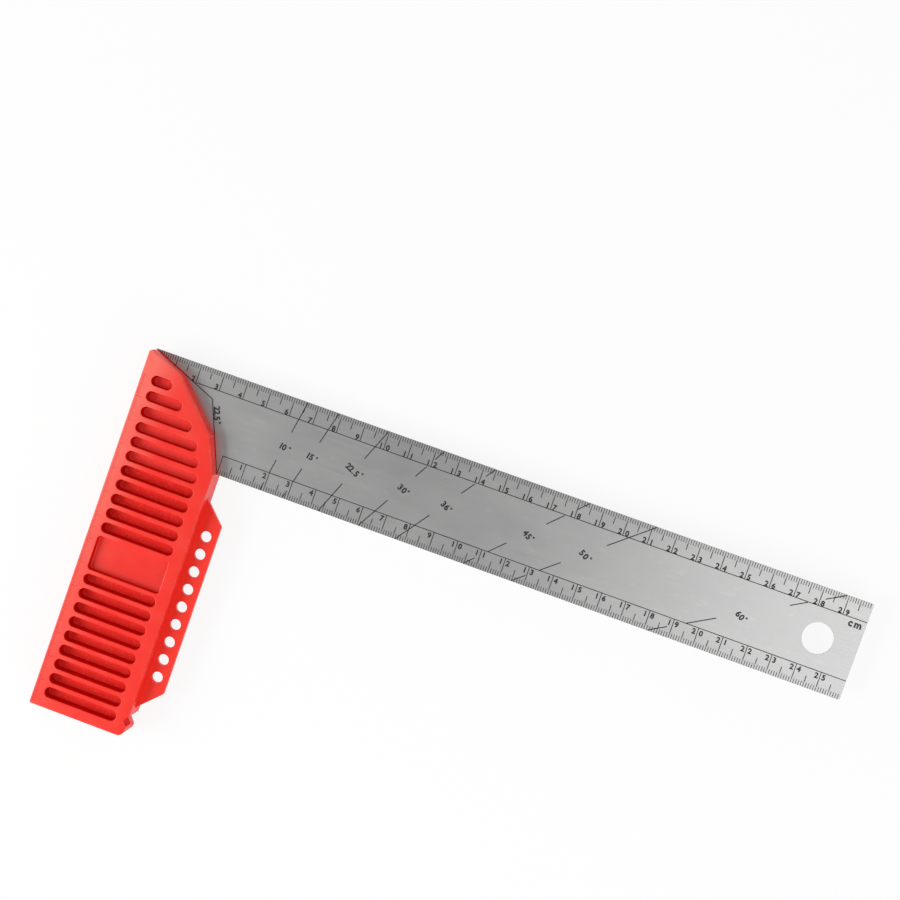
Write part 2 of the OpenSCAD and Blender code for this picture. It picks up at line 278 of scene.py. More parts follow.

# %% [markdown]
# The handle is a red moulded plastic with a fine grain. Light is painted onto it: a pale sheen along the
# margin by the outer face, strongest near the tip, and pale highlights on the chamfers and slot rims beside
# the blade.
# Random pale blotches vary its tone, and a hairline shows where the two halves meet. Each of these is a mask
# made from the place on the piece and the way it faces, so one function serves every red part.

# %% Moulded plastic
CLOUD, GRAIN = 14, 0.45
SKIN = (5.5, 6.5)
EDGE_LOW, EDGE_HIGH = (0.2, 0.5), (0.85, 0.98)
MARGIN = (-6, 18)
WHOLE_LENGTH, TIP_LENGTH, HIGHLIGHT_LENGTH = (-170, 0), (-36, 0), (-75, -40)
HAIRLINE = (0.03, 0.10)
HAIRLINE_SHADE = (0.45, 0.3, 0.3)
# Shares of the painted sheen on the margin and at the tip, of the painted highlights on the edges, and of the
# random pale blotches
MARGIN_SHEEN, TIP_SHEEN, EDGE_HIGHLIGHT, SPOT_HIGHLIGHT, CLOUD_WEAR = 0.27, 0.25, 0.1, 0.4, 0.15
GRAIN_ROUGH, GRAIN_RELIEF, HAIRLINE_RELIEF = 0.14, 0.3, 1.5
MOULD_BUMP, MOULD_DEPTH = 0.25, 0.05


def above_seam(place):
    """A wire's height above or below the seam of the handle."""
    return abs(place.part(2) - spot(0, 0, SEAM_Z).z)


def moulded_plastic(name, colour, pale, gloss, parting):
    """Red plastic with a mould's grain, painted sheen and highlights and random pale blotches; parting is 1
    for a piece in two halves.
    """
    material, shader, place, facing = start_finish(name)
    cloud = place.noise(CLOUD, 3)
    grain = place.noise(GRAIN, 3, 0.6)
    height = above_seam(place)
    outside = height.climb(*SKIN)
    upward = abs(facing.part(2))
    edge = upward.rise(*EDGE_LOW) * (1 - upward.rise(*EDGE_HIGH)) * outside
    margin = 1 - (place.part(0) - zero.x).climb(*MARGIN)
    along = place.part(1) - zero.y
    # painted sheen: paler along the outer margin, more towards the tip, and over the whole top near the tip
    painted_sheen = margin * (along.climb(*WHOLE_LENGTH) + MARGIN_SHEEN) + along.climb(*TIP_LENGTH) * TIP_SHEEN
    # painted highlight: paler chamfers and slot rims on the outer faces, near the blade only
    painted_edge_highlight = edge * (cloud.rise(0.35, 0.65) * SPOT_HIGHLIGHT + EDGE_HIGHLIGHT) * along.climb(*HIGHLIGHT_LENGTH)
    # painted sheen and highlights, together with random pale blotches of the plastic's own tone
    painted_light_and_mottle = painted_sheen * outside + painted_edge_highlight + cloud.rise(0.4, 0.75) * CLOUD_WEAR
    line = (1 - height.climb(*HAIRLINE)) * parting
    shaded = [part * share for part, share in zip(colour, HAIRLINE_SHADE)] + [1]
    place.feed(shader.inputs["Base Color"], line.blend(painted_light_and_mottle.blend(colour, pale), shaded))
    place.feed(shader.inputs["Roughness"], gloss + grain * GRAIN_ROUGH)
    relief = grain * GRAIN_RELIEF - line * HAIRLINE_RELIEF
    place.feed(shader.inputs["Normal"], relief.bump(MOULD_BUMP, MOULD_DEPTH))
    return material


# The pale colours are what the painted sheen, the painted highlights and the random blotches blend towards.
HANDLE_RED = (0.88, 0.014, 0.003, 1)
HANDLE_PALE = (0.94, 0.140, 0.105, 1)
LEDGE_RED = (0.95, 0.022, 0.006, 1)
LEDGE_PALE = (0.96, 0.050, 0.030, 1)
handle_plastic = moulded_plastic("handle_plastic", HANDLE_RED, HANDLE_PALE, gloss=0.36, parting=1)
ledge_plastic = moulded_plastic("ledge_plastic", LEDGE_RED, LEDGE_PALE, gloss=0.38, parting=0)
print("plastics:", handle_plastic.name, ledge_plastic.name)

# %% [markdown]
# Inside the slots and in the sighting notch at the foot the mould was left coarse, so the plastic has almost
# no sheen. Shade is painted onto the walls there as a deeper red, and light onto the floors, which are paler
# and pinker than the outside, more so in the shallow slots over the blade than in the deep ones. The floors
# are mottled too.

# %% Plastic inside the slots
# Painted shade: the walls' deeper red. Painted light: the floors' paler, pinker reds, less of it in the deep
# slots.
SHADED_WALL_RED = (0.66, 0.004, 0.001, 1)
LIT_SHALLOW_FLOOR = (0.97, 0.062, 0.052, 1)
LIT_DEEP_FLOOR = (0.96, 0.036, 0.026, 1)
FLECK_RED = (0.97, 0.105, 0.085, 1)
FLECK = 0.9
FLOOR_TILT = (0.8, 0.95)
BETWEEN_FLOORS = (2.6, 3.3)
FLECK_SHARE = 0.5
COARSE_ROUGH, FLECK_ROUGH, COARSE_SHEEN = 0.5, 0.2, 0.06


def coarse_plastic(name):
    """Dull red plastic with painted shade and light: darker walls and paler floors, told apart by how they
    face, and deep floors from shallow ones by height.
    """
    material, shader, place, facing = start_finish(name)
    fleck = place.noise(FLECK, 4, 0.7)
    floor = abs(facing.part(2)).rise(*FLOOR_TILT)
    depth = 1 - above_seam(place).climb(*BETWEEN_FLOORS)
    mottled = fleck.rise(0.48, 0.64) * FLECK_SHARE
    lit_floor_red = mottled.blend(depth.blend(LIT_SHALLOW_FLOOR, LIT_DEEP_FLOOR), FLECK_RED)
    # painted shade on the walls, painted light on the floors
    place.feed(shader.inputs["Base Color"], floor.blend(SHADED_WALL_RED, lit_floor_red))
    place.feed(shader.inputs["Roughness"], COARSE_ROUGH + fleck * FLECK_ROUGH)
    place.feed(shader.inputs["Normal"], fleck.bump(MOULD_BUMP, MOULD_DEPTH))
    shader.inputs["Specular IOR Level"].default_value = COARSE_SHEEN
    return material


slot_plastic = coarse_plastic("slot_plastic")
print("inside the slots:", slot_plastic.name)

# %% [markdown]
# The blade is rolled steel with a fine brushed grain along its length. Stretching noise along one axis gives
# the brush lines; they change the roughness a little and tilt the surface a very little. A coarser noise
# leaves faint pale scuffs here and there.

# %% Brushed steel
BRUSH, SCUFF = 0.16, 1.6
CLOUD_STRETCH, SCUFF_STRETCH = (0.4, 1, 1), (0.3, 1, 1)
DARK_SHARES, LIGHT_SHARES = (0.86, 0.865, 0.87), (1.14, 1.135, 1.12)
MEAN_SHADE, BRUSH_SHADE, CLOUD_SHADE, SCUFF_SHADE = 0.49, 0.3, 0.8, 0.22
BRUSH_ROUGH, CLOUD_ROUGH = 0.16, 0.06
BRUSH_BUMP, BRUSH_DEPTH = 0.10, 0.01


def brushed_steel(name, grey, gloss, along):
    """Steel brushed along one axis, given as a stretch for the noise."""
    material, shader, place = start_finish(name)[:3]
    lines = place.noise(BRUSH, 4, 0.7, along) - 0.5
    cloud = place.noise(CLOUD, 4, 0.6, CLOUD_STRETCH) - 0.5
    scuff = place.noise(SCUFF, 2, 0.5, SCUFF_STRETCH).rise(0.6, 0.74)
    shade = lines * BRUSH_SHADE + cloud * CLOUD_SHADE + MEAN_SHADE + scuff * SCUFF_SHADE
    dark = [grey * share for share in DARK_SHARES] + [1]
    light = [grey * share for share in LIGHT_SHARES] + [1]
    place.feed(shader.inputs["Base Color"], shade.blend(dark, light))
    place.feed(shader.inputs["Roughness"], gloss + lines * BRUSH_ROUGH + cloud * CLOUD_ROUGH)
    place.feed(shader.inputs["Normal"], lines.bump(BRUSH_BUMP, BRUSH_DEPTH))
    shader.inputs["Metallic"].default_value = 1.0
    return material


blade_steel = brushed_steel("blade_steel", grey=0.59, gloss=0.36, along=(0.004, 1, 1))
spring_steel = brushed_steel("spring_steel", grey=0.42, gloss=0.30, along=(1, 0.01, 1))
fixing_steel = brushed_steel("fixing_steel", grey=0.55, gloss=0.28, along=(1, 1, 0.05))
print("steels:", blade_steel.name, spring_steel.name, fixing_steel.name)

# %% [markdown]
# The marks on the blade are dark and matt, etched and filled. Close up the filling is uneven, so noise lets a
# little grey show through it.

# %% Filled marks
MARK_BLACK = (0.012, 0.012, 0.013, 1)
MARK_GREY = (0.07, 0.07, 0.07, 1)
UNEVEN = 0.8
FILL_ROUGH, THIN_ROUGH = 0.5, 0.2


def filled_marks(name):
    """Near-black filling, greyer and rougher where it is thin."""
    material, shader, place = start_finish(name)[:3]
    thin = place.noise(UNEVEN, 4, 0.7).rise(0.45, 0.8)
    place.feed(shader.inputs["Base Color"], thin.blend(MARK_BLACK, MARK_GREY))
    place.feed(shader.inputs["Roughness"], FILL_ROUGH + thin * THIN_ROUGH)
    return material


mark_fill = filled_marks("mark_fill")
print("marks:", mark_fill.name)

# %% [markdown]
# Every new piece ends the same way: it takes its material and it rides on a body of the frame.

# %% Giving a piece its finish and its body
def finish_piece(piece, body, material):
    """Gives a piece its material and its body, and prints its size."""
    piece.data.materials.clear()
    piece.data.materials.append(material)
    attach(piece, body)
    print(f"{piece.name}: {len(piece.data.vertices)} vertices, {len(piece.data.polygons)} faces")


print("finishing helper ready")

# %% [markdown]
# The two halves of the handle have the right shape in the CAD model, but their edges are knife sharp, where a
# mould leaves them round. A copy of each half is first merged from loose triangles into whole faces, so that
# it can be worked on like any other mesh.

# %% Merged copies of CAD nodes
WELD = 0.002
FLAT_ANGLE = 1


def merged_copy(node, name):
    """A copy of a CAD node that takes its place, its doubled points merged and its flat faces made whole."""
    piece = bpy.data.objects.new(name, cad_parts[node].data.copy())
    bpy.context.scene.collection.objects.link(piece)
    pick(piece)
    bpy.ops.object.mode_set(mode="EDIT")
    bpy.ops.mesh.select_all(action="SELECT")
    bpy.ops.mesh.remove_doubles(threshold=WELD * MM)
    bpy.ops.mesh.dissolve_limited(angle_limit=math.radians(FLAT_ANGLE))
    bpy.ops.object.mode_set(mode="OBJECT")
    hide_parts(node)
    return piece


handle_top = merged_copy("upper_shell", "handle_top")
handle_under = merged_copy("lower_shell", "handle_under")
print("halves:", len(handle_top.data.polygons), "and", len(handle_under.data.polygons), "faces")

# %% [markdown]
# The slots' rims are rounded. Bevelling them would drag the edges that cross the slotted face from hole to
# hole, so a flared cutter does it instead, as a countersink would: a disc is extruded down ring by ring, each
# ring smaller, along a quarter circle. It is turned by half a step, so that no corner lies on its axes.

# %% A flared cutter for a rim
RIM = 0.25
FLARE = [(0.0, 1.0), (0.134, 0.5), (0.5, 0.134), (0.9, 0.03), (1.8, -0.6)]
CORNERS = 32


def flared_cutter(radius):
    """A round cutter about the zero: FLARE gives its rings as shares of the rim, depth and growth."""
    half_step = math.pi / CORNERS
    reach = (radius + RIM) * MM / math.cos(half_step)
    bpy.ops.mesh.primitive_circle_add(vertices=CORNERS, radius=reach, fill_type="NGON",
                                      location=spot(0, 0, TOP_Z + RIM), rotation=(0, 0, half_step))
    cutter = settle(bpy.context.object)
    bpy.ops.object.mode_set(mode="EDIT")
    bpy.ops.mesh.select_all(action="SELECT")
    size, level = radius + RIM, RIM
    for depth, growth in FLARE:
        drop = -depth * RIM - level
        bpy.ops.mesh.extrude_region_move(TRANSFORM_OT_translate={"value": (0, 0, drop * MM)})
        share = (radius + growth * RIM) / size
        bpy.ops.transform.resize(value=(share, share, 1), center_override=spot(0, 0, TOP_Z))
        size, level = radius + growth * RIM, level + drop
    face_outwards()
    return cutter


def stretch(cutter, along, down):
    """Draws a round cutter out to the right and downwards, which leaves its ends round."""
    choose(cutter, "VERT", lambda place: place.x > 0)
    bpy.ops.transform.translate(value=(along * MM, 0, 0))
    if down:
        choose(cutter, "VERT", lambda place: place.y < 0)
        bpy.ops.transform.translate(value=(0, -down * MM, 0))
    bpy.ops.object.mode_set(mode="OBJECT")
    return cutter


def put(cutter, x, y):
    """Moves a cutter from the zero to its place on the handle."""
    cutter.location += Vector((x, y, 0)) * MM
    return settle(cutter)


print("cutter ready, rim of", RIM, "mm")

# %% [markdown]
# Twenty slots lie across the handle, four of them wider apart beside the mitre, with a plain panel between
# the upper and the lower group. Their inner ends follow the mitre at 45 degrees and then bend into a line
# along the fence.

# %% Where the slots lie
SLOT_WIDTH, SLOT_START, SLOT_END = 4.3, 4.2, 35.0
FIRST_ROW, WIDE_PITCH, PITCH = 12.05, 6.5, 6.05
LOWER_ROW = 95.7
WIDE_ROWS, UPPER_ROWS, LOWER_ROWS = 4, 7, 9
FIRST_END, SLANT, BEND = 13.0, 45, 36.0
PANEL_TOP, PANEL_LENGTH, PANEL_CORNER = 77.65, 14.3, 1.6
rows = [FIRST_ROW + WIDE_PITCH * k for k in range(WIDE_ROWS)]
rows += [rows[-1] + PITCH * k for k in range(1, UPPER_ROWS + 1)]
rows += [LOWER_ROW + PITCH * k for k in range(LOWER_ROWS)]


def slot_end(row):
    """Where a slot's inner end lies: on the slant, on the bend or along the fence."""
    meet = FIRST_ROW + SLOT_END - FIRST_END
    tangent = BEND * math.tan(math.radians(SLANT / 2))
    if row < meet - tangent * math.cos(math.radians(SLANT)):
        return FIRST_END + row - FIRST_ROW
    if row > meet + tangent:
        return SLOT_END
    return SLOT_END - BEND + math.sqrt(BEND ** 2 - (meet + tangent - row) ** 2)


print(len(rows), "slots, the first", round(slot_end(rows[0]) - SLOT_START, 1), "mm long")

# %% [markdown]
# One flared cutter is made, copied for every slot and drawn out to its length. A second one, with the
# panel's corner for its radius, is drawn out both ways for the panel. Joined, they cut the upper half, and
# a copy that is mirrored in the seam cuts the lower one.

# %% Rounding the rims of both halves
slot_cutter = flared_cutter(SLOT_WIDTH / 2)
cutters = []
for row in rows:
    cutter = stretch(copy_of(slot_cutter), slot_end(row) - SLOT_START - SLOT_WIDTH, 0)
    cutters.append(put(cutter, SLOT_START + SLOT_WIDTH / 2, -row))
bpy.data.objects.remove(slot_cutter)
panel_cutter = stretch(flared_cutter(PANEL_CORNER), SLOT_END - SLOT_START - 2 * PANEL_CORNER,
                       PANEL_LENGTH - 2 * PANEL_CORNER)
cutters.append(put(panel_cutter, SLOT_START + PANEL_CORNER, -PANEL_TOP - PANEL_CORNER))
rims = join("rims", cutters)
rims_under = copy_of(rims)
rims_under.scale.z = -1
rims_under.location.z = 2 * spot(0, 0, SEAM_Z).z
settle(rims_under)
bpy.ops.object.mode_set(mode="EDIT")
face_outwards()
cut(handle_top, rims)
cut(handle_under, rims_under)
print("rims rounded on", len(rows), "slots and the panel of each half")

# %% [markdown]
# A mould's slots run into their floors in a round fillet, which keeps the plastic from cracking there. Each
# floor's rim lies at one height, so its edges are chosen by place and height, and bevelled. The underside's
# floors stay square to their walls, because the screws' heads sit flat on some of them.

# %% Fillets round the floors
FILLET, FILLET_STEPS = 0.8, 3
SHALLOW_ROWS = 6
SHALLOW_LEVEL, DEEP_LEVEL, PANEL_LEVEL = 3.4, 2.55, 4.4
NEAR, NEAR_LEVEL = 0.01, 0.02


def in_row(place, row):
    """True for a place within a slot's outline."""
    across = SLOT_START - NEAR < place.x < slot_end(row) + NEAR
    return across and abs(place.y + row) < SLOT_WIDTH / 2 + NEAR


def in_panel(place):
    """True for a place within the panel's outline."""
    down = -place.y - PANEL_TOP
    return -NEAR < down < PANEL_LENGTH + NEAR and SLOT_START - NEAR < place.x < SLOT_END + NEAR


def floor_level(place):
    """Height above the seam of the floor over or under a place, or None outside the slots and the panel."""
    if in_panel(place):
        return PANEL_LEVEL
    found = [k for k, row in enumerate(rows) if in_row(place, row)]
    if not found:
        return None
    return SHALLOW_LEVEL if found[0] < SHALLOW_ROWS else DEEP_LEVEL


def floor_rim(a, b):
    """True for the edges in which a floor meets its walls."""
    level = floor_level(a)
    return level is not None and all(abs(end.z - SEAM_Z - level) < NEAR_LEVEL for end in (a, b))


round_over(handle_top, FILLET, floor_rim, FILLET_STEPS)
print("fillets of", FILLET, "mm round the floors of the upper half")

# %% [markdown]
# A fine scale is moulded into the margin along the handle's outer face, red on red. A tick is a small block,
# and an array repeats it down the handle every centimetre. Ten such rows, each a millimetre on from the last,
# make the scale, with longer ticks at the half and the whole centimetres. A boolean sinks each row.

# %% The scale in the handle's margin
TICK_WIDTH, TICK_DEPTH, TICK_START, TICK_OVER = 0.28, 0.18, 0.3, 0.5
SCALE_FIRST, SCALE_LAST = 11, 149
PLAIN_TICK, FIFTH_TICK, TENTH_TICK = 1.2, 1.8, 2.5


def block(low, high):
    """A box between two places in the tool's millimetres."""
    low, high = spot(*low), spot(*high)
    bpy.ops.mesh.primitive_cube_add(size=1, location=(low + high) / 2, scale=high - low)
    return settle(bpy.context.object)


def repeat(piece, count, x, y):
    """Copies a piece again and again, each by the same step in millimetres."""
    return apply_modifier(piece, "ARRAY", count=count, use_relative_offset=False, use_constant_offset=True,
                          constant_offset_displace=(x * MM, y * MM, 0))


def margin_ticks(first, length):
    """A row of blocks, one in each centimetre of the handle, from the first millimetre on."""
    half = TICK_WIDTH / 2
    low = (TICK_START, -first - half, TOP_Z - TICK_DEPTH)
    high = (TICK_START + length, -first + half, TOP_Z + TICK_OVER)
    return repeat(block(low, high), (SCALE_LAST - first) // 10 + 1, 0, -10)


for first in range(SCALE_FIRST, SCALE_FIRST + 10):
    length = PLAIN_TICK
    if first % 5 == 0:
        length = TENTH_TICK if first % 10 == 0 else FIFTH_TICK
    cut(handle_top, margin_ticks(first, length))
print("margin scale sunk", TICK_DEPTH, "mm deep")

# %% [markdown]
# With the shapes done, both halves are shaded smooth over their chamfers, which makes these look rounded. The
# corners between the mitre's three facets and at the notches' mouths are marked sharp again, so that each
# facet stays flat. The faces inside the slots, the panel's walls and the upper notch take the slot plastic,
# with its painted shade and light.

# %% Shading the halves
MITRE_CORNERS = ((1.26, -0.52), (-0.4, -1.63), (15.18, -6.29), (33.99, -25.1), (40, -39.6))
NOTCH_CORNERS = ((40, -141.85), (40, -146.35), (40, -142), (40, -147.6))
MITRE_REACH, NOTCH_REACH = 1.8, 0.9
NOTCH_PLACE, NOTCH_HALF = Vector((39.1, -144.1)), Vector((0.7, 2))
WALL_TILT = 0.95
sharp_corners = [(Vector(place), MITRE_REACH) for place in MITRE_CORNERS]
sharp_corners += [(Vector(place), NOTCH_REACH) for place in NOTCH_CORNERS]


def in_notch(place):
    """True for a place on the walls of the upper half's sighting notch."""
    away = place.xy - NOTCH_PLACE
    return place.z > SEAM_Z and abs(away.x) < NOTCH_HALF.x and abs(away.y) < NOTCH_HALF.y


# These faces take the slot plastic, whose colours paint shade on the walls and light on the floors.
def is_coarse(face):
    """True for a face inside a slot, below its rim, or on the walls of the panel or the sighting notch."""
    place = (face.center - zero) / MM
    panel_wall = in_panel(place) and abs(face.normal.z) < WALL_TILT
    within = panel_wall or in_notch(place) or any(in_row(place, row) for row in rows)
    return within and abs(place.z - SEAM_Z) < TOP_Z - SEAM_Z - RIM


def sharp_corner(a, b):
    """True for the short or upright edges at a corner of the mitre or the notches."""
    return any(max((a.xy - place).length, (b.xy - place).length) < reach for place, reach in sharp_corners)


for half in (handle_top, handle_under):
    pick(half)
    bpy.ops.object.shade_smooth_by_angle(angle=math.radians(SMOOTH_ANGLE))
    choose(half, "EDGE", sharp_corner)
    bpy.ops.mesh.mark_sharp()
    bpy.ops.object.mode_set(mode="OBJECT")
    apply_modifier(half, "WEIGHTED_NORMAL", keep_sharp=True)
    finish_piece(half, "square", handle_plastic)
    half.data.materials.append(slot_plastic)
    for face in half.data.polygons:
        face.material_index = int(is_coarse(face))

# %% [markdown]
# The ledge is a thin pierced plate. Only the part outside the handle is seen, and its edges are slightly
# rounded there, the holes' rims too.

# %% The ledge
LEDGE_ROUND, FENCE_CLEAR = 0.15, 0.1


def ledge_edge(a, b):
    """True for the level edges of the ledge that lie outside the handle."""
    return min(a.x, b.x) > FENCE_X + FENCE_CLEAR and abs(a.z - b.z) < NEAR


ledge = merged_copy("ledge", "ledge_plate")
round_over(ledge, LEDGE_ROUND, ledge_edge)
smooth(ledge)
finish_piece(ledge, "ledge", ledge_plastic)

# %% [markdown]
# The blade is sheared from strip and its burrs are stoned off, so its long edges and its hole are broken by a
# hair, and the two corners at the free end are just rounded.

# %% The blade
CORNER_ROUND, EDGE_ROUND, END_CLEAR = 0.5, 0.08, 0.1


def free_corner(a, b):
    """True for the two upright edges at the blade's free end."""
    return min(a.x, b.x) > BLADE_END - END_CLEAR and (a.xy - b.xy).length < NEAR


def blade_edge(a, b):
    """True for the level edges of the blade that reach past the fence."""
    return max(a.x, b.x) > FENCE_X and abs(a.z - b.z) < NEAR


blade = merged_copy("blade", "ruled_blade")
round_over(blade, CORNER_ROUND, free_corner)
round_over(blade, EDGE_ROUND, blade_edge)
smooth(blade)
finish_piece(blade, "square", blade_steel)

# %% [markdown]
# The springs, dowels and screws keep their CAD shapes, because only the screws' heads are ever seen, deep in
# the slots and the panel of the underside. They take real finishes all the same.

# %% Springs, dowels and screws
for node, material in (("ledge_spring_1", spring_steel), ("ledge_spring_2", spring_steel),
                       ("blade_dowel_1", fixing_steel), ("blade_dowel_2", fixing_steel),
                       ("shell_screws", fixing_steel)):
    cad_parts[node].data.materials.clear()
    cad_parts[node].data.materials.append(material)
    print(node, "in", material.name)

# %% [markdown]
# The blade's lines could be a texture, but as thin blocks just proud of the steel they stay sharp at any
# distance. A stroke is a block drawn out between two points; the ticks of a scale are one stroke repeated.

# %% Strokes and graduations
INK_LOW, INK_HIGH = FACE_Z - 0.01, FACE_Z + 0.02
INK_Z, INK_THICK = (INK_LOW + INK_HIGH) / 2, INK_HIGH - INK_LOW
LINE, FINE_LINE = 0.33, 0.26
SHORT_TICK, HALF_TICK, FULL_TICK = 2.1, 4.6, 7.7


def stroke(start, end, width=LINE):
    """One line on the blade's face between two points in millimetres."""
    start, end = Vector(start), Vector(end)
    run = end - start
    bpy.ops.mesh.primitive_cube_add(size=1, location=spot(*(start + end) / 2, INK_Z),
                                    rotation=(0, 0, math.atan2(run.y, run.x)),
                                    scale=(run.length * MM, width * MM, INK_THICK * MM))
    return settle(bpy.context.object)


def graduations(start, last, edge, inward):
    """Millimetre, half-centimetre and centimetre ticks from one edge of the blade."""
    short, half, full = (edge + length * inward for length in (SHORT_TICK, HALF_TICK, FULL_TICK))
    return [
        repeat(stroke((start + 1, edge), (start + 1, short), FINE_LINE), last - start, 1, 0),
        repeat(stroke((start + 5, short), (start + 5, half)), (last - start) // 5, 5, 0),
        repeat(stroke((start + 10, half), (start + 10, full)), (last - start) // 10, 10, 0),
    ]


OUTER_BASE, INNER_BASE = -7.7, -31.75
OUTER_START, INNER_ZERO, INNER_LINE = 20, 40, 40.1
OUTER_EDGE, INNER_EDGE = -0.05, -BLADE_WIDTH + 0.05
LAST_TICK, LINES_END = BLADE_END - 1, BLADE_END - 0.1
outer = graduations(0, LAST_TICK, OUTER_EDGE, -1)
outer.append(stroke((OUTER_START, OUTER_BASE), (LINES_END, OUTER_BASE)))
inner = graduations(INNER_ZERO, LAST_TICK, INNER_EDGE, 1)
inner.append(stroke((INNER_ZERO, INNER_BASE), (LINES_END, INNER_BASE)))
inner.append(stroke((INNER_LINE, INNER_EDGE), (INNER_LINE, INNER_BASE)))
print("graduations:", len(outer) + len(inner), "strokes and rows of strokes")

# %% [markdown]
# The figures are made once each with the text tool and turned into meshes, brought to one unit high about
# their middle. Every number is then set from copies, which keeps them alike and quick to make.

# %% Figures
BOLDER, CURVE_STEPS = 0.042, 3
glyphs = {}


def letter(character):
    """One character of Blender's own font as a mesh, one unit thick and a little bolder than it comes."""
    bpy.ops.object.text_add()
    made = bpy.context.object
    made.data.body = character
    made.data.extrude = 0.5
    made.data.offset = BOLDER
    made.data.resolution_u = CURVE_STEPS
    pick(made)
    bpy.ops.object.convert(target="MESH")
    return bpy.context.object


tallest = letter("8")
FIGURE_UNIT = 1 / max(vertex.co.y for vertex in tallest.data.vertices)
bpy.data.objects.remove(tallest)
for character in "0123456789.°cm":
    glyph = letter(character)
    widths = [vertex.co.x for vertex in glyph.data.vertices]
    glyph.scale = (FIGURE_UNIT, FIGURE_UNIT, 1)
    glyph.location = (-(min(widths) + max(widths)) / 2 * FIGURE_UNIT, -0.5, 0)
    glyphs[character] = settle(glyph)


def figure(character, x, y, height, turn=0):
    """One figure with its middle at a place on the blade, turned by so many degrees."""
    piece = copy_of(glyphs[character])
    piece.location = spot(x, y, INK_Z)
    piece.rotation_euler.z = math.radians(turn)
    piece.scale = (height * MM, height * MM, INK_THICK * MM)
    return settle(piece)


print("figures made:", " ".join(glyphs))

# %% [markdown]
# Single figures stand to the left of their tick and pairs stand astride it, as on the real scale. The outer
# numbers stand on their base line, and the inner ones hang below theirs. With the unit at the free end, the
# lines and numbers of each scale are joined into one piece.

# %% The numbers of both scales
FIGURE_HEIGHT = 2.2
SINGLE_SHIFT, PAIR_SHIFT = 1.5, 1.45
OUTER_GAP, INNER_GAP = 0.2, 0.6
UNIT_HEIGHT, UNIT_Y = 2.9, -9.6


def number(value, tick, y):
    """A number beside its centimetre tick."""
    places = (-SINGLE_SHIFT,) if value < 10 else (-PAIR_SHIFT, PAIR_SHIFT)
    return [figure(character, tick + shift, y, FIGURE_HEIGHT) for character, shift in zip(str(value), places)]


for value in range(2, 30):
    outer += number(value, 10 * value, OUTER_BASE + OUTER_GAP + FIGURE_HEIGHT / 2)
for value in range(1, 26):
    inner += number(value, INNER_ZERO + 10 * value, INNER_BASE - INNER_GAP - FIGURE_HEIGHT / 2)
for character, x in (("c", 293.9), ("m", 296.9)):
    outer.append(figure(character, x, UNIT_Y, UNIT_HEIGHT))
for name, pieces in (("outer_scale", outer), ("inner_scale", inner)):
    finish_piece(join(name, pieces), "square", mark_fill)

# %% [markdown]
# A line for each common angle runs across the blade from a pivot in the notch at the foot: with the notch and
# the line both held over the work's edge, the fence lies at that angle to it. Each line is broken where a
# number stands in its way, so it is given by the stretches that are drawn.

# %% Angle lines
PIVOT = Vector((40.07, -144.1))
GUIDE_LINE, GUIDE_TRIM = 0.4, 0.25
angle_lines = {
    10: ((0, -13.6), (-25.7, -31.7), (-35.8, -39.4)),
    15: ((0, -13.6), (-25.5, -31.7), (-35.8, -39.0)),
    22.5: ((0, -13.6), (-25.7, -39.4)),
    30: ((0, -4.5), (-8, -13.4), (-25.7, -39.4)),
    36: ((0, -4), (-8, -13.6), (-25.7, -39.4)),
    45: ((0, -4.2), (-7.8, -13.7), (-25.7, -31.7), (-35.6, -39.4)),
    50: ((0, -13.6), (-25.7, -31.6), (-35.2, -39.4)),
    60: ((0, -4.5), (-7.7, -11.4), (-25.6, -31.7), (-35.2, -39.4)),
}


def on_line(angle, y):
    """Where the line at this angle crosses a height on the blade."""
    return PIVOT.x + (y - PIVOT.y) * math.tan(math.radians(angle)), y


guides = []
for angle, stretches in angle_lines.items():
    for high, low in stretches:
        guides.append(stroke(on_line(angle, high - GUIDE_TRIM), on_line(angle, low), GUIDE_LINE))
print("angle lines:", len(angle_lines), "in", len(guides), "stretches")

# %% [markdown]
# Each angle's number stands in the middle of the blade, in the gap of its line, and leans with it; the
# degree sign is smaller. Along the mitre two more lines show where 22.5 degrees lies, one from the tip and
# one to the fence, with their number.

# %% Angle numbers and mitre lines
LABEL_HEIGHT = 2.45
DEGREE_SHARE, DEGREE_DROP = 0.75, 0.5
labels = [
    (-10, (("1", 60.9, -19.8), ("0", 62.3, -20.1), ("°", 64.5, -19.7))),
    (-13, (("1", 72.5, -19.8), ("5", 73.9, -20.1), ("°", 76.0, -19.8))),
    (-23, (("2", 89.1, -18.4), ("2", 90.5, -19.1), (".", 91.7, -19.7), ("5", 93.1, -20.3),
           ("°", 95.2, -19.7))),
    (-25, (("3", 111.4, -19.3), ("0", 113.2, -20.1), ("°", 114.8, -19.9))),
    (-28, (("3", 129.8, -19.8), ("6", 131.4, -20.7), ("°", 133.0, -20.6))),
    (-30, (("4", 164.1, -19.6), ("5", 165.7, -20.6), ("°", 167.3, -20.4))),
    (-29, (("5", 187.5, -19.4), ("0", 189.3, -20.4), ("°", 191.2, -20.4))),
    (-30, (("6", 252.5, -21.2), ("0", 254.1, -22.1), ("°", 255.7, -21.9))),
    (-66, (("2", 31.6, -14.6), ("2", 32.2, -16.1), (".", 32.2, -17.2), ("5", 32.9, -18.3),
           ("°", 34.0, -19.4))),
]
for turn, characters in labels:
    for character, x, y in characters:
        if character == "°":
            guides.append(figure(character, x, y - DEGREE_DROP, LABEL_HEIGHT * DEGREE_SHARE, turn))
        else:
            guides.append(figure(character, x, y, LABEL_HEIGHT, turn))
MITRE_TIP, MITRE_BEND, MITRE_FENCE = (1.0, -0.35), (28.55, -11.7), (40.1, -BLADE_WIDTH)
guides.append(stroke(MITRE_TIP, MITRE_BEND, GUIDE_LINE))
guides.append(stroke(MITRE_BEND, MITRE_FENCE, GUIDE_LINE))
